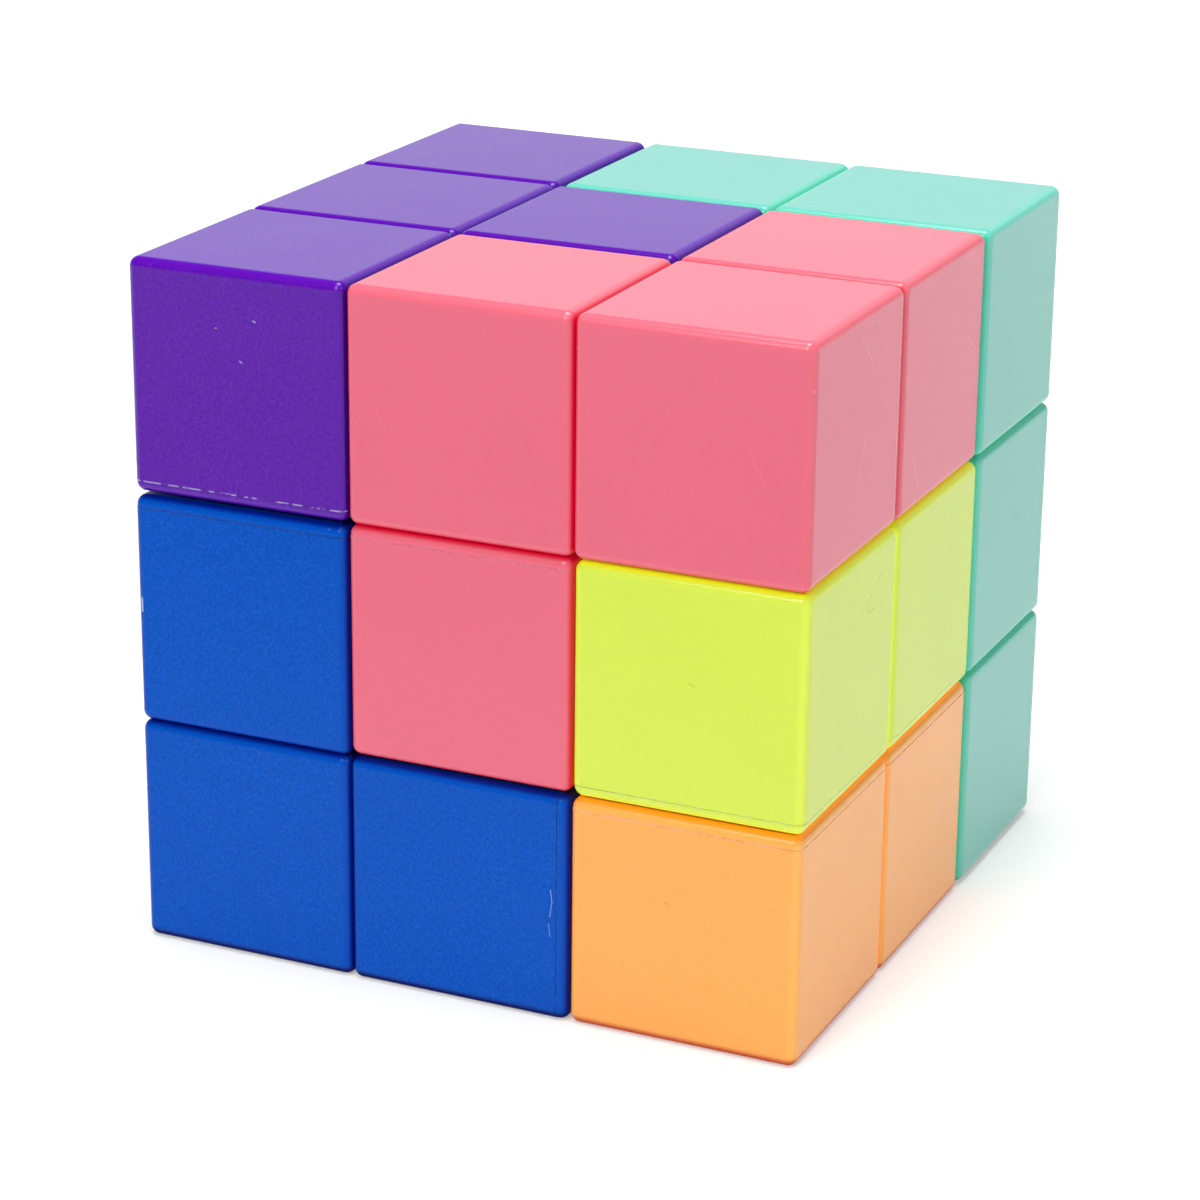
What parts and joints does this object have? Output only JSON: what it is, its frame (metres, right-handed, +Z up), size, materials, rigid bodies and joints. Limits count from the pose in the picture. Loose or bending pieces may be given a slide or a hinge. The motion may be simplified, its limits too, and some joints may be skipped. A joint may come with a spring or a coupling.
{
  "type": "magnetic assembly cube puzzle",
  "caption": "Cube puzzle of interlocking clusters of glued hollow cubelets that come apart and hold together by ball magnets behind their faces.",
  "frame": {"origin": "centre of the closed cube's lower face, on the surface it stands on", "axes": "+Z up; -Y towards the face with the coral centre column, +X towards the face with the orange lower row"},
  "size_m": [0.06, 0.06, 0.06],
  "materials": {
    "purple_plastic": "glossy moulded ABS, purple",
    "pink_plastic": "glossy moulded ABS, coral pink",
    "mint_plastic": "glossy moulded ABS, mint green",
    "yellow_plastic": "glossy moulded ABS, lemon yellow",
    "orange_plastic": "glossy moulded ABS, apricot orange",
    "blue_plastic": "glossy moulded ABS, blue",
    "red_plastic": "glossy moulded ABS, red",
    "core_plastic": "natural moulded ABS, satin",
    "nickel_plated_magnet": "polished nickel plating"
  },
  "bodies": {
    "purple_piece": {"purple_shell_1": "purple_plastic", "purple_shell_2": "purple_plastic", "purple_shell_3": "purple_plastic", "purple_shell_4": "purple_plastic", "purple_lids": "purple_plastic", "purple_magnet_cores": "core_plastic", "purple_magnets": "nickel_plated_magnet"},
    "pink_piece": {"pink_shell_1": "pink_plastic", "pink_shell_2": "pink_plastic", "pink_shell_3": "pink_plastic", "pink_shell_4": "pink_plastic", "pink_lids": "pink_plastic", "pink_magnet_cores": "core_plastic", "pink_magnets": "nickel_plated_magnet"},
    "mint_piece": {"mint_shell_1": "mint_plastic", "mint_shell_2": "mint_plastic", "mint_shell_3": "mint_plastic", "mint_shell_4": "mint_plastic", "mint_lids": "mint_plastic", "mint_magnet_cores": "core_plastic", "mint_magnets": "nickel_plated_magnet"},
    "yellow_piece": {"yellow_shell_1": "yellow_plastic", "yellow_shell_2": "yellow_plastic", "yellow_shell_3": "yellow_plastic", "yellow_shell_4": "yellow_plastic", "yellow_lids": "yellow_plastic", "yellow_magnet_cores": "core_plastic", "yellow_magnets": "nickel_plated_magnet"},
    "orange_piece": {"orange_shell_1": "orange_plastic", "orange_shell_2": "orange_plastic", "orange_shell_3": "orange_plastic", "orange_lids": "orange_plastic", "orange_magnet_cores": "core_plastic", "orange_magnets": "nickel_plated_magnet"},
    "blue_piece": {"blue_shell_1": "blue_plastic", "blue_shell_2": "blue_plastic", "blue_shell_3": "blue_plastic", "blue_shell_4": "blue_plastic", "blue_lids": "blue_plastic", "blue_magnet_cores": "core_plastic", "blue_magnets": "nickel_plated_magnet"},
    "red_piece": {"red_shell_1": "red_plastic", "red_shell_2": "red_plastic", "red_shell_3": "red_plastic", "red_shell_4": "red_plastic", "red_lids": "red_plastic", "red_magnet_cores": "core_plastic", "red_magnets": "nickel_plated_magnet"}
  },
  "joints": [
    {"name": "purple_slide", "type": "slide", "parent": "yellow_piece", "child": "purple_piece", "axis": [0, 0, 1], "range_m": [0, 0.03]},
    {"name": "pink_slide", "type": "slide", "parent": "yellow_piece", "child": "pink_piece", "axis": [0, -1, 0], "range_m": [0, 0.05]},
    {"name": "mint_slide", "type": "slide", "parent": "yellow_piece", "child": "mint_piece", "axis": [0, 1, 0], "range_m": [0, 0.03]},
    {"name": "orange_slide", "type": "slide", "parent": "yellow_piece", "child": "orange_piece", "axis": [1, 0, 0], "range_m": [0, 0.05]},
    {"name": "blue_slide", "type": "slide", "parent": "yellow_piece", "child": "blue_piece", "axis": [-1, 0, 0], "range_m": [0, 0.05]},
    {"name": "red_slide", "type": "slide", "parent": "yellow_piece", "child": "red_piece", "axis": [0, 1, 0], "range_m": [0, 0.05]}
  ]
}
